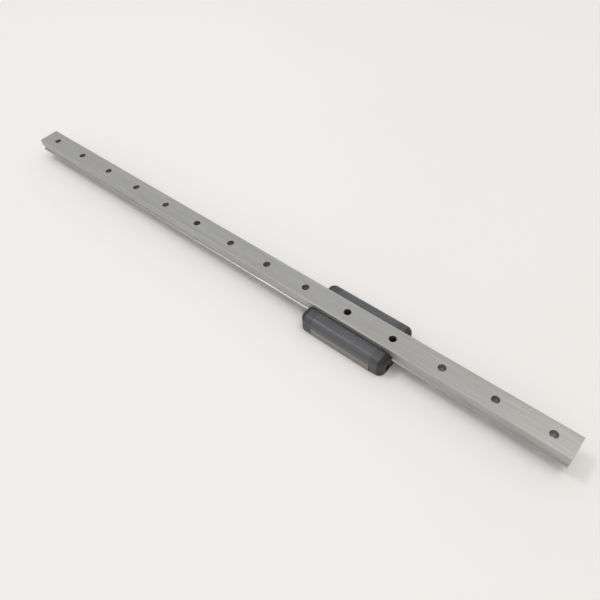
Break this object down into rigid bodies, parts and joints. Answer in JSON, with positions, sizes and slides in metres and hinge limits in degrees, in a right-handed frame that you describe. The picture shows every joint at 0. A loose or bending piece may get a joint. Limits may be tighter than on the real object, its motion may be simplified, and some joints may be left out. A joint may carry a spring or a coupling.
{
  "type": "linear guide carriage",
  "caption": "Long recirculating-ball carriage with dark resin sides on a ground steel miniature rail with side grooves and counterbored holes, lying with the rail's base up.",
  "frame": {"origin": "centre of the carriage's mounting face, on the surface that the carriage lies on", "axes": "+X along the rail towards its near end, +Y across the rail, +Z from the carriage's mounting face up to the rail's mounting face: the guide lies upside down"},
  "size_m": [0.345, 0.027, 0.013],
  "materials": {
    "steel_rail": "fine ground, thin oil film",
    "steel_block": "ground, thin oil film",
    "resin_black": "moulded, semi-gloss, near-black with a blue-grey sheen",
    "rubber_seal": "moulded, satin",
    "seal_plate_steel": "stamped, bright",
    "screw_steel": "black oxide",
    "ball_steel": "lapped, mirror bright",
    "wire_steel": "drawn spring wire",
    "guide_resin": "natural moulded resin"
  },
  "bodies": {
    "rail": {"rail": "steel_rail"},
    "carriage": {"block_body": "steel_block", "return_skirt_left": "resin_black", "return_skirt_right": "resin_black", "end_plate_front": "resin_black", "end_plate_rear": "resin_black", "seal_plate_front": "seal_plate_steel", "seal_plate_rear": "seal_plate_steel", "end_seal_front": "rubber_seal", "end_seal_rear": "rubber_seal", "end_screws_front": "screw_steel", "end_screws_rear": "screw_steel", "return_guide_front_left": "guide_resin", "return_guide_front_right": "guide_resin", "return_guide_rear_left": "guide_resin", "return_guide_rear_right": "guide_resin", "retainer_wire_left": "wire_steel", "retainer_wire_right": "wire_steel", "ball_circuit_left": "ball_steel", "ball_circuit_right": "ball_steel"}
  },
  "joints": [
    {"name": "carriage_slide", "type": "slide", "parent": "rail", "child": "carriage", "axis": [1, 0, 0], "range_m": [-0.216, 0.081]}
  ]
}
